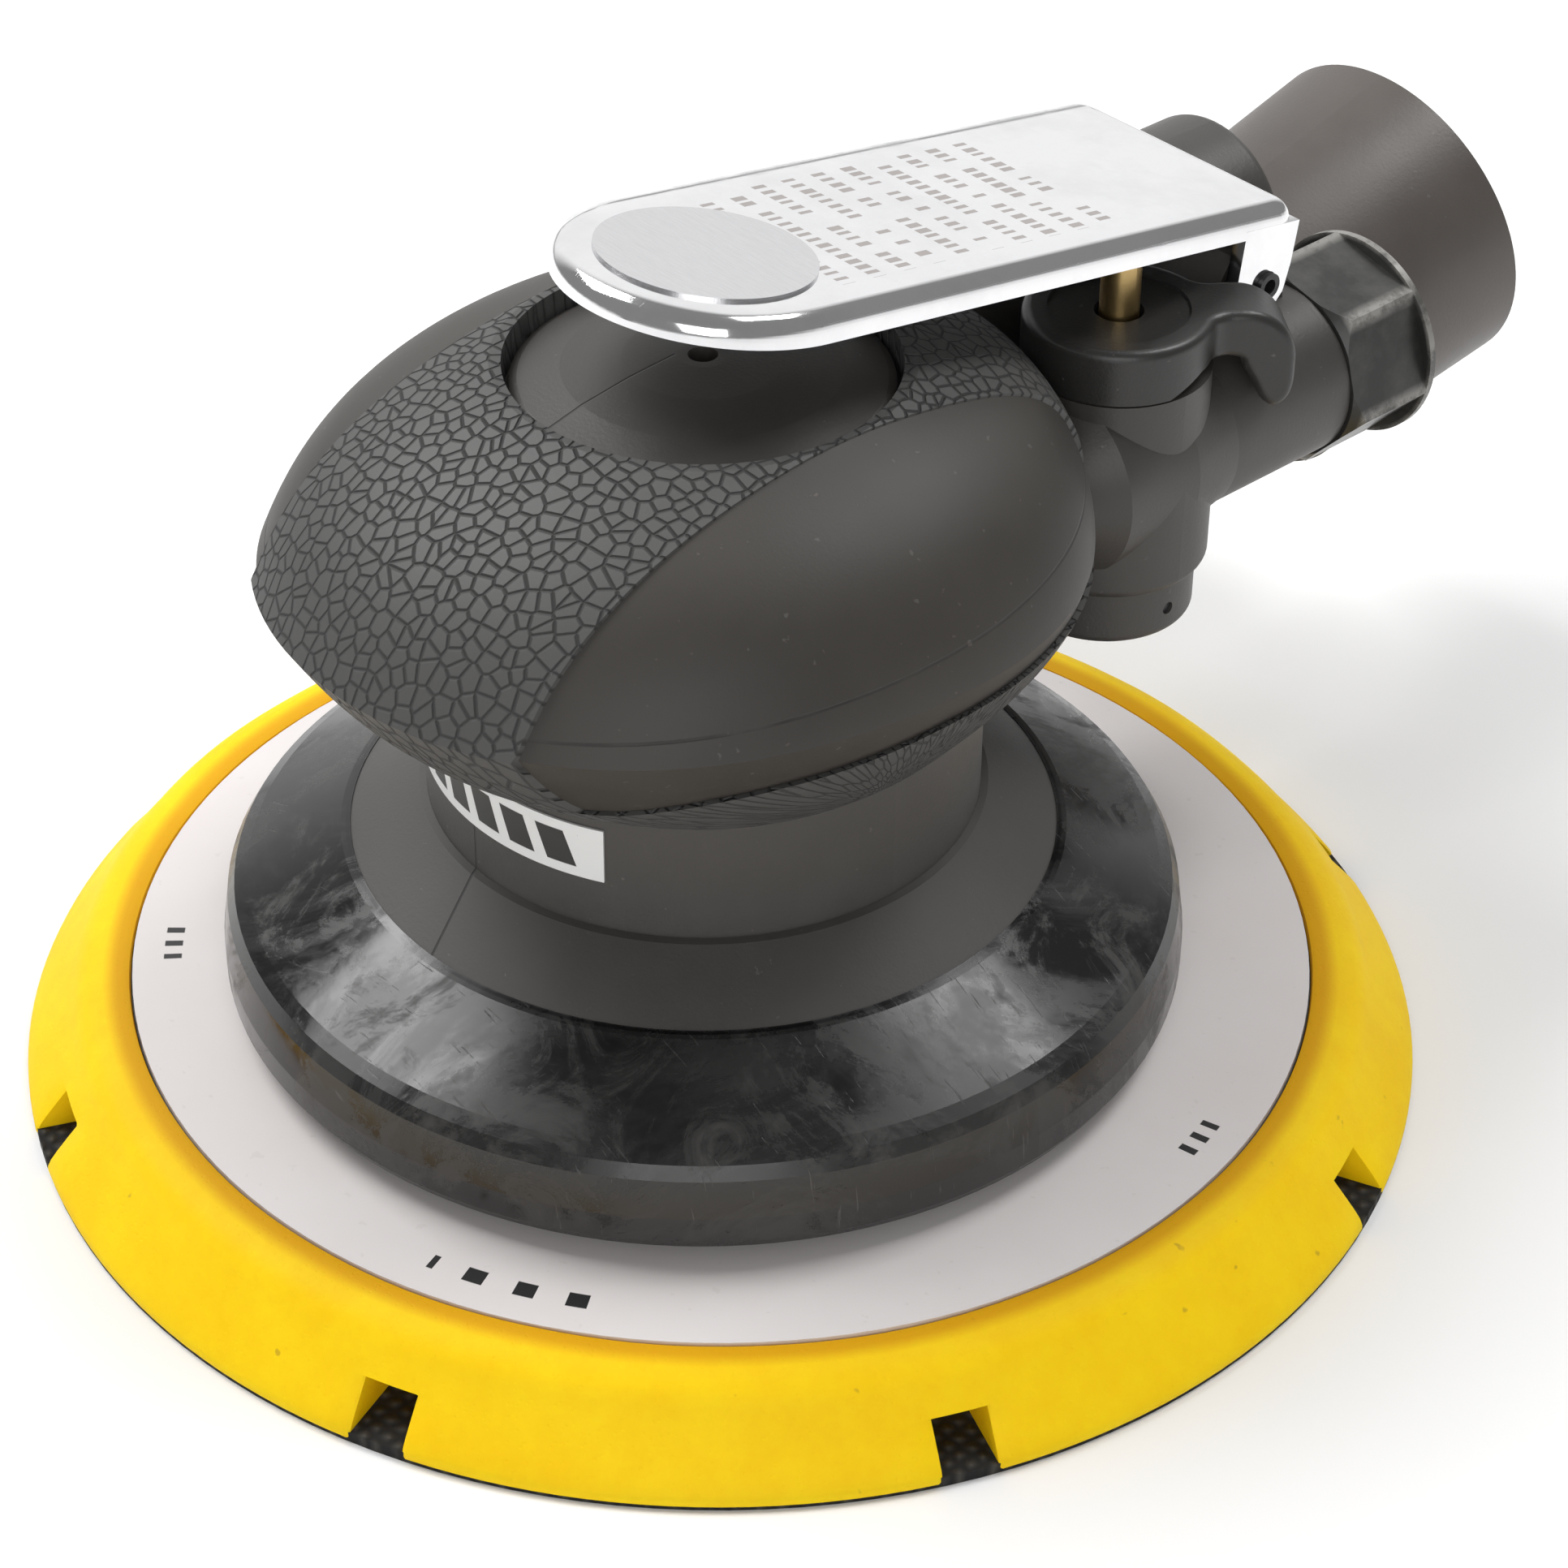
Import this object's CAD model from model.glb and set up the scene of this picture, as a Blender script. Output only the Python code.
import math

import bpy
from mathutils import Matrix, Vector


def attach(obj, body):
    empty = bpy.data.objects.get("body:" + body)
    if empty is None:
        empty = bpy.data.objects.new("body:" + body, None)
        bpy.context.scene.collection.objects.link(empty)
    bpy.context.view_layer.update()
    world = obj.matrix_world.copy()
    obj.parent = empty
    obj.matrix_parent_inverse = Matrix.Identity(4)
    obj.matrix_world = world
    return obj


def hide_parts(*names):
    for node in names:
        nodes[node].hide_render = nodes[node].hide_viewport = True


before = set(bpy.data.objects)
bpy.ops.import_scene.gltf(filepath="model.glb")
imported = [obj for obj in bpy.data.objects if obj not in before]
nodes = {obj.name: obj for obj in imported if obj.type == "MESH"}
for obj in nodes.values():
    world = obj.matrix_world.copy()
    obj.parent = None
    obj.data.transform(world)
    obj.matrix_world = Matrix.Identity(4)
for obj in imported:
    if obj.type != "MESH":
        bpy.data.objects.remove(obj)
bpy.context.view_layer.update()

# Camera: where it stands, the point it looks at, its roll and lens. Metres and degrees.
CAMERA_AT = Vector((0.2656, -0.2289, 0.2884))
CAMERA_TO = Vector((0.01876, -0.00568, 0.045))
CAMERA_ROLL = 0.64
CAMERA_LENS = 95.15

# The orbit axis, about which the pad turns, stands this far behind the motor axis.
ORBIT = 0.0025

# Notches round the yellow foam, in millimetres: the radius their floors are cut back to, the height of
# their ceilings and of their lowest points, and the radius at which their widths are measured
NOTCHES = 8
NOTCH_FLOOR = 66.5
NOTCH_CEILING = 5.8
NOTCH_FOOT = 1.22
NOTCH_R = 72.0

# Columns of a notch: distance from its middle in millimetres, then 1 where the notch cuts the wall,
# 0 where the wall is whole, and between them where it is only eased by CORNER_ROUNDING
NOTCH_COLUMNS = ((-3.3, 0.0), (-2.9, 0.35), (-2.75, 1.0), (-1.4, 1.0), (0.0, 1.0), (1.4, 1.0),
                 (2.75, 1.0), (2.9, 0.35), (3.3, 0.0))
CORNER_ROUNDING = 0.25

# Plain wall between two notches: its steps, and the shares of the pitch where it starts and that it spans
PLAIN_STEPS = 20
PLAIN_START = 0.06
PLAIN_SPAN = 0.88

# Inside this radius, in millimetres, the foam's rings stay round
HUB_ZONE_R = 30.0

# Orange lip of the foam beside the cover: the radii over which it fades out, in metres
LIP_R = (0.0650, 0.0664)

# Axis of the air inlet tube
TUBE_X = 0.0132
TUBE_Z = 0.0610

# The textured band wraps the grip about this height, at about this radius
BAND_CENTRE_Z = 0.045
BAND_R = 0.042

# Parting line on the side panels: its height at the motor axis and its rise towards the rear
PARTING_Z = 0.0692
PARTING_SLOPE = 0.06

# Printed ticks on the pad cover: the middle of their ring and half their length, then for each group
# its bearing and half spread in degrees and its dashes per radian
TICK_RING = 0.0590
TICK_HALF_LENGTH = 0.0009
TICK_GROUPS = ((-61.0, 9.0, 11.0), (-130.0, 3.0, 26.0), (14.0, 3.0, 26.0))

# Lever: half width of its flat top before the edges roll over; the etched field's half width, middle,
# half length and lowest height; row spacing and letter pitch; share of a row that its letters fill
LEVER_FLAT = 0.0118
ETCH_HALF_WIDTH = 0.0112
ETCH_MIDDLE_Y = 0.027
ETCH_HALF_LENGTH = 0.019
ETCH_LOWEST_Z = 0.0828
ETCH_PITCH = 0.0040
LETTER_PITCH = 0.0014
LETTER_HEIGHT = 0.42

# Neck label: the bars' pitch, their share of it and their slant, and the box they are printed in
BAR_PITCH = 0.0046
BAR_SHARE = 0.68
BAR_SLANT = 0.35
BAR_MIDDLE_X = 0.001
BAR_HALF_X = 0.0108
BAR_MIDDLE_Z = 0.0431
BAR_HALF_Z = 0.0019

# Mould lines: where the neck's crosses the x axis, and the flange's offset and lean
NECK_SEAM_X = -0.0018
FLANGE_SEAM = -0.0119
FLANGE_SEAM_LEAN = 0.351

# Radius of the groove between the flange and the shroud
SHROUD_GROOVE_R = 0.0374

# Worn rim of the inlet bushing: distances from the tube's axis where the wear starts and is full
WEAR_R = (0.01086, 0.01132)

# Half the floor's side
FLOOR_HALF = 4.0


# ---------------------------------------------------------------- node helpers

class Shader:
    """A material under construction: short names for the nodes it is made from."""

    def __init__(self, name):
        self.material = bpy.data.materials.new(name)
        self.material.use_nodes = True
        self.tree = self.material.node_tree
        self.shader = self.tree.nodes["Principled BSDF"]
        self.position = self.tree.nodes.new("ShaderNodeTexCoord").outputs["Object"]

    def node(self, kind, **settings):
        node = self.tree.nodes.new(kind)
        for key, value in settings.items():
            setattr(node, key, value)
        return node

    def put(self, socket, value):
        if isinstance(value, bpy.types.NodeSocket):
            self.tree.links.new(value, socket)
        else:
            socket.default_value = value

    def math(self, operation, a, b=0.0):
        node = self.node("ShaderNodeMath", operation=operation)
        for socket, value in zip(node.inputs, (a, b)):
            self.put(socket, value)
        return node.outputs[0]

    def axes(self):
        node = self.node("ShaderNodeSeparateXYZ")
        self.put(node.inputs[0], self.position)
        return node.outputs

    def from_axis(self, a, b):
        """Distance from an axis, given the two coordinates measured from it."""
        squares = self.math("ADD", self.math("POWER", a, 2.0), self.math("POWER", b, 2.0))
        return self.math("SQRT", squares)

    def mapped(self, scale, rotation=(0, 0, 0)):
        node = self.node("ShaderNodeMapping")
        self.put(node.inputs["Vector"], self.position)
        node.inputs["Scale"].default_value = scale
        node.inputs["Rotation"].default_value = rotation
        return node.outputs[0]

    def noise(self, scale, detail=4.0, rough=0.55, vector=None, distortion=0.0):
        node = self.node("ShaderNodeTexNoise")
        self.put(node.inputs["Vector"], vector or self.position)
        node.inputs["Scale"].default_value = scale
        node.inputs["Detail"].default_value = detail
        node.inputs["Roughness"].default_value = rough
        node.inputs["Distortion"].default_value = distortion
        return node.outputs["Fac"]

    def cells(self, scale, feature="F1", vector=None, randomness=1.0, flat_pattern=False):
        node = self.node("ShaderNodeTexVoronoi", feature=feature)
        if flat_pattern:
            node.voronoi_dimensions = "2D"
        self.put(node.inputs["Vector"], vector or self.position)
        node.inputs["Scale"].default_value = scale
        node.inputs["Randomness"].default_value = randomness
        return node.outputs["Distance"]

    def ramp(self, value, *stops):
        """A colour ramp of value; stops are (position, grey) or (position, (r, g, b))."""
        node = self.node("ShaderNodeValToRGB")
        self.put(node.inputs[0], value)
        elements = node.color_ramp.elements
        while len(elements) < len(stops):
            elements.new(0.5)
        for element, (at, colour) in zip(elements, stops):
            element.position = at
            if isinstance(colour, (int, float)):
                colour = (colour, colour, colour)
            element.color = (*colour, 1)
        return node.outputs[0]

    def mix(self, factor, a, b):
        node = self.node("ShaderNodeMix", data_type="RGBA")
        self.put(node.inputs[0], factor)
        for socket, value in ((node.inputs[6], a), (node.inputs[7], b)):
            if isinstance(value, tuple):
                value = (*value, 1)
            self.put(socket, value)
        return node.outputs[2]

    def bump(self, height, distance, strength=1.0, normal=None):
        node = self.node("ShaderNodeBump")
        node.inputs["Distance"].default_value = distance
        self.put(node.inputs["Strength"], strength)
        self.put(node.inputs["Height"], height)
        if normal is not None:
            self.put(node.inputs["Normal"], normal)
        return node.outputs[0]

    def band(self, value, centre, half_width, soft=0.00012):
        """1 where value is within half_width of centre, falling to 0 over soft. All in metres."""
        away = self.math("ABSOLUTE", self.math("SUBTRACT", value, centre))
        node = self.node("ShaderNodeMapRange", interpolation_type="SMOOTHSTEP")
        self.put(node.inputs["Value"], away)
        self.put(node.inputs["From Min"], half_width + soft)
        self.put(node.inputs["From Max"], half_width)
        return node.outputs["Result"]

    def both(self, *masks):
        """The product of masks: 1 only where all of them are."""
        result = masks[0]
        for mask in masks[1:]:
            result = self.math("MULTIPLY", result, mask)
        return result

    def finish(self, colour, roughness, normal, metallic=0.0, **constants):
        """Wire the results to the shader; constants are set straight on their sockets."""
        self.put(self.shader.inputs["Base Color"], colour)
        self.put(self.shader.inputs["Roughness"], roughness)
        self.put(self.shader.inputs["Metallic"], metallic)
        self.put(self.shader.inputs["Normal"], normal)
        for name, value in constants.items():
            self.shader.inputs[name.replace("_", " ")].default_value = value
        return self.material


def dress(material, *names):
    for name in names:
        slots = nodes[name].data.materials
        slots.clear()
        slots.append(material)


# ---------------------------------------------------------------- materials

def grip_rubber():
    """Close leather-like pebbles of about 1.7 mm between thin dark creases, laid out along the band."""
    s = Shader("grip_pebbled_rubber")
    x, y, z = s.axes()
    wrap = s.math("ARCTAN2", s.math("SUBTRACT", z, BAND_CENTRE_Z), s.math("MULTIPLY", y, -1.0))
    strip = s.node("ShaderNodeCombineXYZ")
    s.put(strip.inputs[0], x)
    s.put(strip.inputs[1], s.math("MULTIPLY", wrap, BAND_R))
    flat = strip.outputs[0]
    to_crease = s.cells(600, "DISTANCE_TO_EDGE", flat, 0.85, flat_pattern=True)
    pebble = s.ramp(to_crease, (0.01, 0.0), (0.13, 1.0))
    height = s.mix(0.05, pebble, s.noise(3000, 2, 0.6))
    dust = s.ramp(s.noise(60, 6, 0.7), (0.45, 0.0), (0.8, 1.0))
    colour = s.mix(pebble, (0.040, 0.039, 0.038), (0.072, 0.071, 0.069))
    colour = s.mix(s.math("MULTIPLY", dust, 0.15), colour, (0.09, 0.088, 0.085))
    roughness = s.ramp(pebble, (0.0, 0.85), (1.0, 0.56))
    return s.finish(colour, roughness, s.bump(height, 0.00035, 1.0))


def panel_rubber():
    """Smooth satin rubber with the mould's parting line running along the side."""
    s = Shader("grip_smooth_rubber")
    x, y, z = s.axes()
    along = s.math("ADD", s.math("MULTIPLY", y, PARTING_SLOPE), PARTING_Z)
    seam = s.band(s.math("SUBTRACT", z, along), 0.0, 0.00006, 0.00014)
    seam = s.math("MULTIPLY", seam, s.ramp(s.noise(110, 2), (0.38, 0.15), (0.55, 1.0)))
    smudge = s.ramp(s.noise(38, 5, 0.6), (0.35, 0.0), (0.75, 1.0))
    specks = s.ramp(s.noise(900, 2, 0.5), (0.72, 0.0), (0.76, 1.0))
    colour = s.mix(smudge, (0.031, 0.027, 0.023), (0.044, 0.039, 0.033))
    colour = s.mix(s.math("MULTIPLY", specks, 0.3), colour, (0.16, 0.15, 0.14))
    colour = s.mix(s.math("MULTIPLY", seam, 0.8), colour, (0.008, 0.007, 0.007))
    height = s.math("SUBTRACT", s.math("MULTIPLY", s.noise(3200, 3, 0.6), 0.12), seam)
    return s.finish(colour, s.ramp(smudge, (0.0, 0.50), (1.0, 0.60)), s.bump(height, 0.0002, 0.5))


def moulded_plastic(name, colour, roughness, scuffs=0.3, seam=None):
    """Satin moulding with fine grain and scuffs; seam(shader) may return a mask of mould lines."""
    s = Shader(name)
    fine = s.noise(2400, 4, 0.65)
    broad = s.ramp(s.noise(46, 5, 0.6), (0.35, 0.0), (0.75, 1.0))
    streaks = s.ramp(s.noise(90, 6, 0.75, s.mapped((1, 7, 1), (0.4, 0.3, 0.8))), (0.6, 0.0), (0.75, 1.0))
    specks = s.ramp(s.noise(1100, 2, 0.5), (0.73, 0.0), (0.77, 1.0))
    light = tuple(min(1.0, c * 1.5 + 0.008) for c in colour)
    tone = s.mix(s.math("MULTIPLY", broad, 0.5), colour, light)
    tone = s.mix(s.math("MULTIPLY", streaks, scuffs * 0.4), tone, (0.11, 0.105, 0.1))
    tone = s.mix(s.math("MULTIPLY", specks, 0.25), tone, (0.2, 0.19, 0.18))
    rough = s.math("ADD", roughness, s.math("MULTIPLY", s.math("SUBTRACT", broad, 0.5), 0.14))
    normal = s.bump(fine, 0.00006, 0.5)
    if seam:
        line = seam(s)
        tone = s.mix(s.math("MULTIPLY", line, 0.7), tone, (0.006, 0.006, 0.006))
        normal = s.bump(s.math("SUBTRACT", 1.0, line), 0.0002, 0.6, normal)
    return s.finish(tone, rough, normal)


def housing_seam(s):
    """Mould line down the front of the neck and across the dome."""
    x, y, z = s.axes()
    line = s.band(x, NECK_SEAM_X, 0.00004)
    return s.both(line, s.math("LESS_THAN", y, -0.002))


def flange_seam(s):
    """Mould line across the flange, a little off radial."""
    x, y, z = s.axes()
    offset = s.math("ADD", x, s.math("MULTIPLY", y, FLANGE_SEAM_LEAN))
    return s.both(s.band(offset, FLANGE_SEAM, 0.00005), s.math("LESS_THAN", y, -0.02))


def shroud_rubber():
    """Glossy black rubber, hazed by handling, with fine crossing scratches inside the haze.

    A dark ring marks the groove where the flange sits on it.
    """
    s = Shader("shroud_gloss_rubber")
    haze = s.ramp(s.noise(30, 8, 0.72, distortion=1.0), (0.44, 0.0), (0.58, 1.0))
    grime = s.ramp(s.noise(70, 8, 0.75, distortion=1.6), (0.50, 0.0), (0.62, 1.0))
    scratches = 0.0
    for scale, turn in ((1.0, 0.3), (1.3, 1.2), (0.8, 2.2)):
        fine = s.noise(150 * scale, 3, 0.6, s.mapped((1, 16, 1), (0, 0, turn)))
        scratches = s.math("MAXIMUM", s.ramp(fine, (0.685, 0.0), (0.72, 1.0)), scratches)
    marks = s.both(scratches, haze)
    base = s.mix(haze, (0.006, 0.006, 0.006), (0.024, 0.0235, 0.023))
    base = s.mix(s.math("MULTIPLY", grime, 0.55), base, (0.056, 0.053, 0.050))
    base = s.mix(s.math("MULTIPLY", marks, 0.45), base, (0.12, 0.115, 0.11))
    x, y, z = s.axes()
    groove = s.band(s.from_axis(x, y), SHROUD_GROOVE_R, 0.00012)
    base = s.mix(groove, base, (0.003, 0.003, 0.003))
    dulled = s.math("ADD", s.math("MULTIPLY", haze, 0.20), s.math("MULTIPLY", grime, 0.22))
    rough = s.math("ADD", s.math("ADD", 0.12, dulled), s.math("MULTIPLY", marks, 0.15))
    height = s.math("SUBTRACT", s.math("MULTIPLY", s.noise(90, 5), 0.5), s.math("MULTIPLY", marks, 0.2))
    return s.finish(base, rough, s.bump(height, 0.00025, 0.3))


def pad_foam():
    """Moulded yellow foam: deeper orange on the lip beside the cover, closed skin with fine pores."""
    s = Shader("pad_foam_yellow")
    x, y, z = s.axes()
    pores = s.ramp(s.cells(1500, "F1"), (0.05, 0.0), (0.3, 1.0))
    mottling = s.ramp(s.noise(120, 5, 0.7), (0.35, 0.0), (0.7, 1.0))
    pits = s.ramp(s.noise(420, 2, 0.5), (0.74, 0.0), (0.78, 1.0))
    radius = s.from_axis(x, s.math("SUBTRACT", y, ORBIT))
    lip = s.ramp(s.math("MULTIPLY", radius, 10.0), (LIP_R[0] * 10, 1.0), (LIP_R[1] * 10, 0.0))
    colour = s.mix(mottling, (0.96, 0.60, 0.001), (1.0, 0.68, 0.004))
    colour = s.mix(s.math("MULTIPLY", lip, 0.85), colour, (0.72, 0.34, 0.003))
    colour = s.mix(s.math("MULTIPLY", pits, 0.5), colour, (0.35, 0.2, 0.02))
    height = s.mix(0.35, pores, s.noise(1500, 3))
    return s.finish(colour, 0.62, s.bump(height, 0.00012, 0.35), Specular_IOR_Level=0.18,
                    Subsurface_Weight=0.1, Subsurface_Scale=0.002)


def hook_fabric():
    """Coarse black weave of the pad's hook face."""
    s = Shader("hook_face_weave")
    weave_x = s.node("ShaderNodeTexWave", wave_type="BANDS", bands_direction="X")
    weave_y = s.node("ShaderNodeTexWave", wave_type="BANDS", bands_direction="Y")
    for wave in (weave_x, weave_y):
        s.put(wave.inputs["Vector"], s.position)
        wave.inputs["Scale"].default_value = 190
        wave.inputs["Distortion"].default_value = 2.0
    threads = s.math("MULTIPLY", weave_x.outputs["Fac"], weave_y.outputs["Fac"])
    colour = s.mix(threads, (0.006, 0.006, 0.006), (0.05, 0.047, 0.04))
    return s.finish(colour, 0.9, s.bump(threads, 0.0005, 0.9))


def pad_cover():
    """White printed disc; the print is replaced by short plain ticks in a ring."""
    s = Shader("pad_cover_white")
    x, y, z = s.axes()
    back = s.math("SUBTRACT", y, ORBIT)
    radius = s.from_axis(x, back)
    turn = s.math("ARCTAN2", back, x)
    printed = 0.0
    for angle, spread, dashes in TICK_GROUPS:
        away = s.math("SUBTRACT", turn, math.radians(angle))
        window = s.math("LESS_THAN", s.math("ABSOLUTE", away), math.radians(spread))
        dash = s.math("LESS_THAN", s.math("FRACT", s.math("MULTIPLY", away, dashes)), 0.4)
        printed = s.math("MAXIMUM", s.both(window, dash), printed)
    printed = s.both(printed, s.band(radius, TICK_RING, TICK_HALF_LENGTH))
    tint = s.ramp(s.noise(26, 5, 0.6), (0.3, 0.0), (0.8, 1.0))
    specks = s.ramp(s.noise(700, 2, 0.5), (0.70, 0.0), (0.74, 1.0))
    colour = s.mix(tint, (0.74, 0.69, 0.675), (0.80, 0.77, 0.76))
    colour = s.mix(s.math("MULTIPLY", specks, 0.12), colour, (0.4, 0.37, 0.34))
    colour = s.mix(printed, colour, (0.02, 0.02, 0.02))
    return s.finish(colour, 0.36, s.bump(s.noise(900, 3), 0.00004, 0.25))


def polished_chrome():
    """Polished lever with faint handling wear, and plain etched dashes in rows where the print was."""
    s = Shader("lever_chrome")
    x, y, z = s.axes()
    wear = s.ramp(s.noise(60, 6, 0.7), (0.45, 0.0), (0.75, 1.0))
    fine = s.ramp(s.noise(300, 4, 0.7, s.mapped((14, 1, 1), (0, 0, 0.6))), (0.6, 0.0), (0.72, 1.0))
    row = s.math("MULTIPLY", y, 1.0 / ETCH_PITCH)
    in_row = s.math("LESS_THAN", s.math("FRACT", row), LETTER_HEIGHT)
    column = s.math("MULTIPLY", x, 1.0 / LETTER_PITCH)
    cell = s.node("ShaderNodeCombineXYZ")
    s.put(cell.inputs[0], s.math("FLOOR", column))
    s.put(cell.inputs[1], s.math("FLOOR", row))
    letters = s.node("ShaderNodeTexWhiteNoise", noise_dimensions="2D")
    s.put(letters.inputs["Vector"], cell.outputs[0])
    kept = s.math("GREATER_THAN", letters.outputs["Value"], 0.22)
    width = s.math("ADD", 0.25, s.math("MULTIPLY", letters.outputs["Value"], 0.45))
    stroke = s.math("LESS_THAN", s.math("FRACT", column), width)
    field = s.both(s.band(x, 0.0, ETCH_HALF_WIDTH), s.band(y, ETCH_MIDDLE_Y, ETCH_HALF_LENGTH))
    top_only = s.math("GREATER_THAN", z, ETCH_LOWEST_Z)
    etched = s.both(in_row, kept, stroke, field, top_only)
    worn = s.math("ADD", s.math("MULTIPLY", wear, 0.08), s.math("MULTIPLY", fine, 0.05))
    rough = s.math("ADD", s.math("ADD", 0.06, worn), s.math("MULTIPLY", etched, 0.3))
    colour = s.mix(wear, (0.86, 0.86, 0.87), (0.76, 0.76, 0.77))
    colour = s.mix(s.math("MULTIPLY", etched, 0.65), colour, (0.26, 0.21, 0.18))
    height = s.math("ADD", s.math("MULTIPLY", s.noise(45, 3), 0.6), s.math("MULTIPLY", fine, 0.1))
    overhang = s.math("MAXIMUM", s.math("SUBTRACT", s.math("ABSOLUTE", x), LEVER_FLAT), 0.0)
    roll = s.math("MULTIPLY", s.math("POWER", s.math("MULTIPLY", overhang, 1000.0), 2.0), -1.0)
    normal = s.bump(roll, 0.00005, 1.0, s.bump(height, 0.00012, 0.2))
    return s.finish(colour, rough, normal, metallic=1.0)


def brushed_badge():
    """Plain round badge, brushed one way."""
    s = Shader("badge_brushed")
    brushed = s.noise(420, 4, 0.7, s.mapped((1, 22, 1), (0, 0, 0.35)))
    colour = s.mix(brushed, (0.55, 0.55, 0.56), (0.78, 0.78, 0.79))
    return s.finish(colour, 0.27, s.bump(brushed, 0.00003, 0.3), metallic=1.0)


def metal(name, colour, roughness, metallic=1.0, worn_colour=None):
    """Machined metal, worn in patches to worn_colour or else to a darker tone of its own."""
    s = Shader(name)
    machining = s.noise(500, 4, 0.65, s.mapped((1, 1, 12)))
    worn = s.ramp(s.noise(160, 5, 0.7), (0.5, 0.0), (0.7, 1.0))
    patches = worn_colour or tuple(c * 0.7 for c in colour)
    tone = s.mix(s.math("MULTIPLY", worn, 0.5), colour, patches)
    rough = s.math("ADD", roughness, s.math("MULTIPLY", machining, 0.12))
    return s.finish(tone, rough, s.bump(machining, 0.00004, 0.35), metallic=metallic)


def worn_bushing():
    """Blackened steel worn bright on the corners of the hexagon and on the collar."""
    s = Shader("bushing_worn_steel")
    x, y, z = s.axes()
    radius = s.from_axis(s.math("SUBTRACT", x, TUBE_X), s.math("SUBTRACT", z, TUBE_Z))
    corner = s.ramp(s.math("MULTIPLY", radius, 50.0), (WEAR_R[0] * 50, 0.0), (WEAR_R[1] * 50, 1.0))
    rubbed = s.ramp(s.noise(260, 6, 0.75), (0.42, 0.25), (0.58, 1.0))
    film = s.ramp(s.noise(90, 6, 0.7), (0.45, 0.0), (0.65, 1.0))
    worn = s.both(corner, rubbed)
    colour = s.mix(film, (0.028, 0.028, 0.027), (0.060, 0.059, 0.055))
    colour = s.mix(s.math("MULTIPLY", worn, 0.85), colour, (0.30, 0.29, 0.27))
    rough = s.math("ADD", 0.3, s.math("MULTIPLY", film, 0.12))
    return s.finish(colour, rough, s.bump(s.noise(900, 3), 0.00003, 0.3), metallic=0.25)


def label_stock():
    """White label; the name on it is replaced by plain slanted bars."""
    s = Shader("label_white")
    x, y, z = s.axes()
    slant = s.math("ADD", x, s.math("MULTIPLY", z, BAR_SLANT))
    bars = s.math("LESS_THAN", s.math("FRACT", s.math("MULTIPLY", slant, 1.0 / BAR_PITCH)), BAR_SHARE)
    printed = s.both(bars, s.band(z, BAR_MIDDLE_Z, BAR_HALF_Z), s.band(x, BAR_MIDDLE_X, BAR_HALF_X))
    tint = s.noise(80, 4)
    colour = s.mix(tint, (0.78, 0.78, 0.77), (0.86, 0.86, 0.855))
    colour = s.mix(printed, colour, (0.02, 0.02, 0.02))
    return s.finish(colour, 0.38, s.bump(s.noise(600, 2), 0.00003, 0.2))


def felt():
    """Loose grey-brown fibres of the silencer."""
    s = Shader("silencer_felt")
    fibres = s.noise(900, 6, 0.8, distortion=1.5)
    colour = s.mix(fibres, (0.16, 0.15, 0.13), (0.34, 0.32, 0.29))
    return s.finish(colour, 0.95, s.bump(fibres, 0.0003, 0.8))


housing_plastic = moulded_plastic("housing_plastic", (0.048, 0.044, 0.040), 0.46, seam=housing_seam)
flange_plastic = moulded_plastic("flange_plastic", (0.056, 0.053, 0.050), 0.55, 0.15, seam=flange_seam)
cuff_plastic = moulded_plastic("cuff_plastic", (0.078, 0.067, 0.060), 0.45, 0.15)
regulator_plastic = moulded_plastic("regulator_plastic", (0.022, 0.021, 0.020), 0.36, 0.1)
vane_plastic = moulded_plastic("vane_laminate", (0.16, 0.07, 0.03), 0.45)
plate_plastic = moulded_plastic("pad_plate_plastic", (0.03, 0.03, 0.03), 0.5)
seal_rubber = moulded_plastic("seal_rubber", (0.01, 0.01, 0.01), 0.6, 0.1)
steel = metal("ground_steel", (0.55, 0.55, 0.56), 0.22)
black_steel = metal("blackened_steel", (0.030, 0.030, 0.031), 0.3, 0.3, (0.10, 0.097, 0.093))
aluminium = metal("aluminium_turned", (0.72, 0.72, 0.74), 0.3)
brass = metal("brass_turned", (0.62, 0.44, 0.19), 0.26, 1.0, (0.42, 0.27, 0.1))

dress(grip_rubber(), "grip_band")
dress(panel_rubber(), "side_panel_left", "side_panel_right")
dress(housing_plastic, "housing_body", "bottom_cap")
dress(flange_plastic, "flange_ring")
dress(shroud_rubber(), "shroud")
dress(cuff_plastic, "hose_cuff")
dress(regulator_plastic, "speed_regulator")
dress(hook_fabric(), "hook_face")
dress(pad_cover(), "pad_cover")
dress(plate_plastic, "pad_plate")
dress(polished_chrome(), "lever")
dress(brushed_badge(), "lever_badge")
dress(label_stock(), "neck_label")
dress(felt(), "silencer_element")
dress(black_steel, "hinge_pin", "cap_pin")
dress(worn_bushing(), "inlet_bushing")
dress(brass, "valve_stem", "valve_poppet", "valve_seat", "stem_guide", "inlet_screen")
dress(aluminium, "lower_endplate", "upper_endplate", "lock_ring")
dress(seal_rubber, "motor_seal", "dust_seal", "cuff_seal")
dress(vane_plastic, *[name for name in nodes if name.startswith("vane_")])

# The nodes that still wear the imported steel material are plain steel
plain_steel = [name for name, node in nodes.items()
               if node.data.materials and node.data.materials[0].name.startswith("steel")]
dress(steel, *plain_steel)


# ---------------------------------------------------------------- stage, lights and camera

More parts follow.
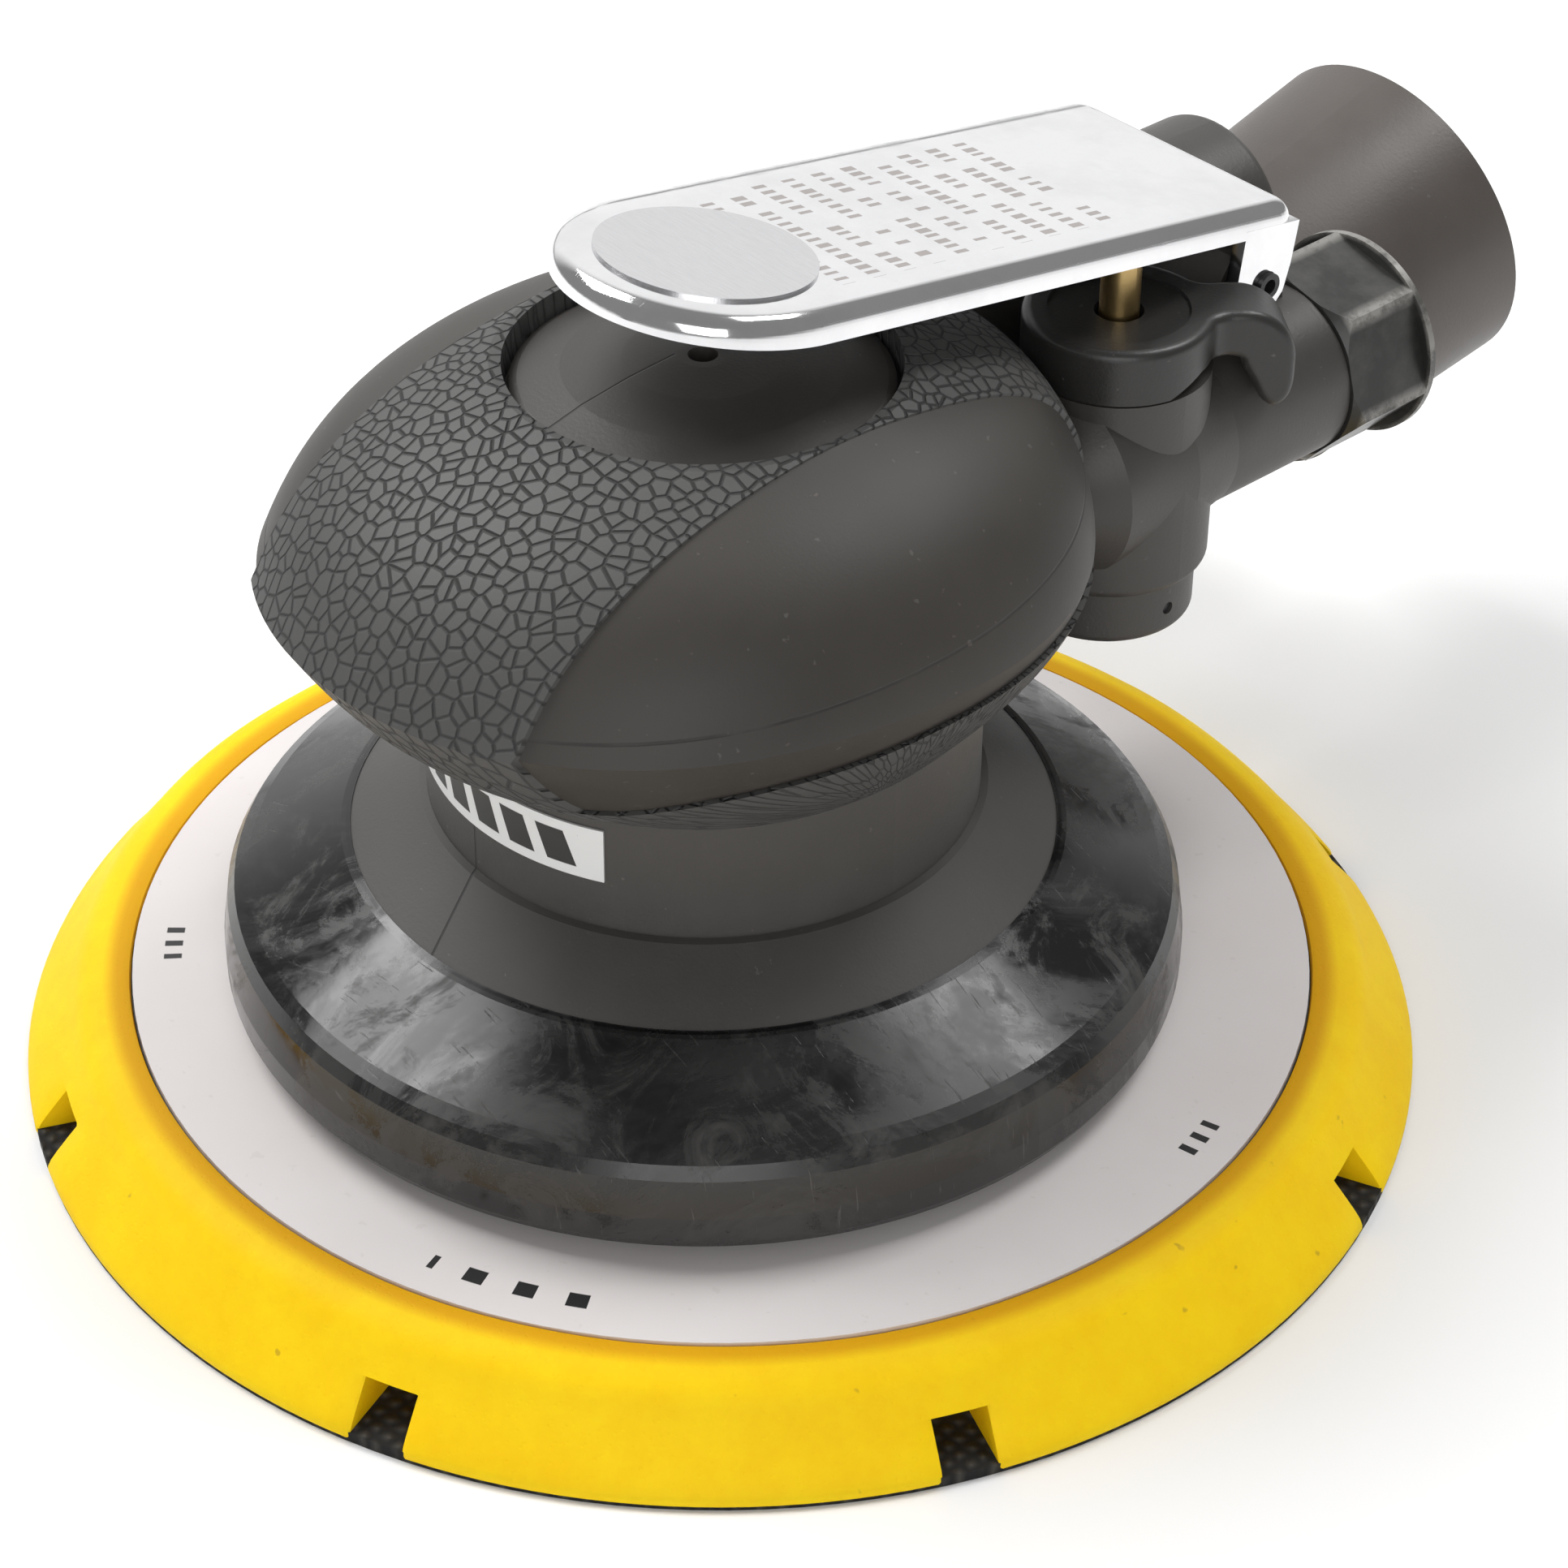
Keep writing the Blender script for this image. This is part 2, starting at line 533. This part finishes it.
def add_mesh(name, vertices, faces, material):
    mesh = bpy.data.meshes.new(name)
    mesh.from_pydata(vertices, [], faces)
    mesh.update()
    thing = bpy.data.objects.new(name, mesh)
    bpy.context.scene.collection.objects.link(thing)
    mesh.materials.append(material)
    for polygon in mesh.polygons:
        polygon.use_smooth = True
    return thing


def build_floor():
    s = Shader("floor_paper")
    tone = s.ramp(s.noise(3, 2), (0.2, (0.93, 0.93, 0.93)), (0.8, (0.95, 0.95, 0.95)))
    paper = s.finish(tone, 0.8, s.bump(s.noise(300, 2), 0.00005, 0.1))
    corners = [(x * FLOOR_HALF, y * FLOOR_HALF, 0) for x, y in ((-1, -1), (1, -1), (1, 1), (-1, 1))]
    floor = add_mesh("floor", corners, [(0, 1, 2, 3)], paper)


def area_light(name, at, to, size, power, size_y=None):
    """A softbox at one point facing another; size_y makes it a rectangle."""
    light = bpy.data.lights.new(name, "AREA")
    light.energy = power
    light.size = size
    if size_y:
        light.shape = "RECTANGLE"
        light.size_y = size_y
    lamp = bpy.data.objects.new(name, light)
    bpy.context.scene.collection.objects.link(lamp)
    lamp.location = at
    lamp.rotation_euler = (Vector(to) - Vector(at)).to_track_quat("-Z", "Y").to_euler()


def build_lights():
    """A dim room with a white sweep at the left rear, two softboxes above, a fill from the right front."""
    world = bpy.data.worlds.new("studio")
    bpy.context.scene.world = world
    world.use_nodes = True
    tree = world.node_tree
    background = tree.nodes["Background"]
    direction = tree.nodes.new("ShaderNodeTexCoord")
    facing = tree.nodes.new("ShaderNodeVectorMath")
    facing.operation = "DOT_PRODUCT"
    facing.inputs[1].default_value = Vector((-0.72, 0.62, 0.20)).normalized()
    tree.links.new(direction.outputs["Generated"], facing.inputs[0])
    level = tree.nodes.new("ShaderNodeMapRange")
    level.interpolation_type = "SMOOTHSTEP"
    tree.links.new(facing.outputs["Value"], level.inputs["Value"])
    level.inputs["From Min"].default_value = 0.62
    level.inputs["From Max"].default_value = 0.90
    level.inputs["To Min"].default_value = 0.25
    level.inputs["To Max"].default_value = 1.0
    tree.links.new(level.outputs["Result"], background.inputs["Strength"])
    background.inputs["Color"].default_value = (1, 1, 1, 1)
    middle = (0, 0, 0.04)
    area_light("key_left", (-0.62, -0.2, 0.86), middle, 0.6, 8.5, 0.5)
    area_light("top_back", (0.12, 0.55, 0.92), middle, 0.4, 4.5)
    area_light("front_fill", (0.95, -0.85, 0.6), middle, 0.9, 6.5)


def build_camera():
    data = bpy.data.cameras.new("camera")
    data.lens = CAMERA_LENS
    data.sensor_width = 36.0
    data.clip_start = 0.01
    camera = bpy.data.objects.new("camera", data)
    bpy.context.scene.collection.objects.link(camera)
    aim = (CAMERA_TO - CAMERA_AT).to_track_quat("-Z", "Y").to_matrix().to_4x4()
    roll = Matrix.Rotation(math.radians(CAMERA_ROLL), 4, "Z")
    camera.matrix_world = Matrix.Translation(CAMERA_AT) @ aim @ roll
    bpy.context.scene.camera = camera


def foam_outline(angle):
    """The foam's section at one bearing, from the hub out and down the wall: (radius, height) in mm.

    The third value is True where the point belongs to the outer wall, which a notch cuts back.
    """
    sway = 0.12 * math.sin(3 * angle + 0.4) + 0.08 * math.sin(7 * angle + 1.9) + 0.05 * math.sin(17 * angle)
    lip = sway * 0.6
    top = [(0.5, 5.0), (18.0, 5.0), (18.1, 7.0), (63.45, 7.0), (63.45, 9.9), (63.6, 10.5 + lip),
           (64.1, 10.65 + lip), (65.4, 10.62 + lip), (66.8, 10.42 + lip), (68.1, 9.95 + sway),
           (69.1, 9.1 + sway), (69.75, 8.1), (70.35, 7.2), (71.55, NOTCH_CEILING)]
    wall = [(71.7, 5.6), (72.9, 4.2), (74.1, 2.75), (74.85, 1.75), (75.12, 1.2), (75.14, 0.7),
            (75.08, 0.5), (75.03, 0.6), (75.0, 1.21)]
    return [(*point, False) for point in top] + [(*point, True) for point in wall]


def foam_columns():
    """Columns round the pad: the bearing of each, its sideways offset in mm and its part in a notch."""
    columns = []
    step = 2 * math.pi / NOTCHES
    for notch in range(NOTCHES):
        middle = step * (notch + 0.5)
        columns += [(middle, offset, depth) for offset, depth in NOTCH_COLUMNS]
        for i in range(1, PLAIN_STEPS):
            columns.append((middle + step * (i / PLAIN_STEPS * PLAIN_SPAN + PLAIN_START), 0.0, 0.0))
    return columns


def foam_point(bearing, offset, depth, radius, height, wall):
    """One vertex in metres: a point of the outline, cut back where a notch passes through the wall."""
    if depth == 1.0 and wall:
        radius = NOTCH_FLOOR
        height = max(height, NOTCH_FOOT)
    elif depth and wall:
        radius -= CORNER_ROUNDING
    if radius > HUB_ZONE_R:
        out = math.sqrt(max(radius * radius - offset * offset, 0.0))
        side = offset
    else:
        out = radius
        side = offset * radius / NOTCH_R
    x = out * math.cos(bearing) - side * math.sin(bearing)
    y = out * math.sin(bearing) + side * math.cos(bearing)
    return (x / 1000, y / 1000 + ORBIT, height / 1000)


def build_foam():
    """The foam as a closed tube of columns, capped at its inner and outer ends, riding on the pad."""
    columns = foam_columns()
    rings = len(foam_outline(0.0))
    vertices = [foam_point(bearing, offset, depth, *point)
                for bearing, offset, depth in columns
                for point in foam_outline(bearing + offset / NOTCH_R)]
    faces = []
    count = len(columns)
    for i in range(count):
        after = (i + 1) % count
        for j in range(rings - 1):
            faces.append((i * rings + j, after * rings + j, after * rings + j + 1, i * rings + j + 1))
    inner_cap = [i * rings for i in range(count)][::-1]
    outer_cap = [i * rings + rings - 1 for i in range(count)]
    faces += [inner_cap, outer_cap]
    foam = add_mesh("pad_foam_body", vertices, faces, pad_foam())
    foam.data.set_sharp_from_angle(angle=math.radians(35))
    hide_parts("pad_foam")
    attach(foam, "pad")


build_foam()
build_floor()
build_lights()
build_camera()
bpy.context.scene.view_settings.view_transform = "Standard"
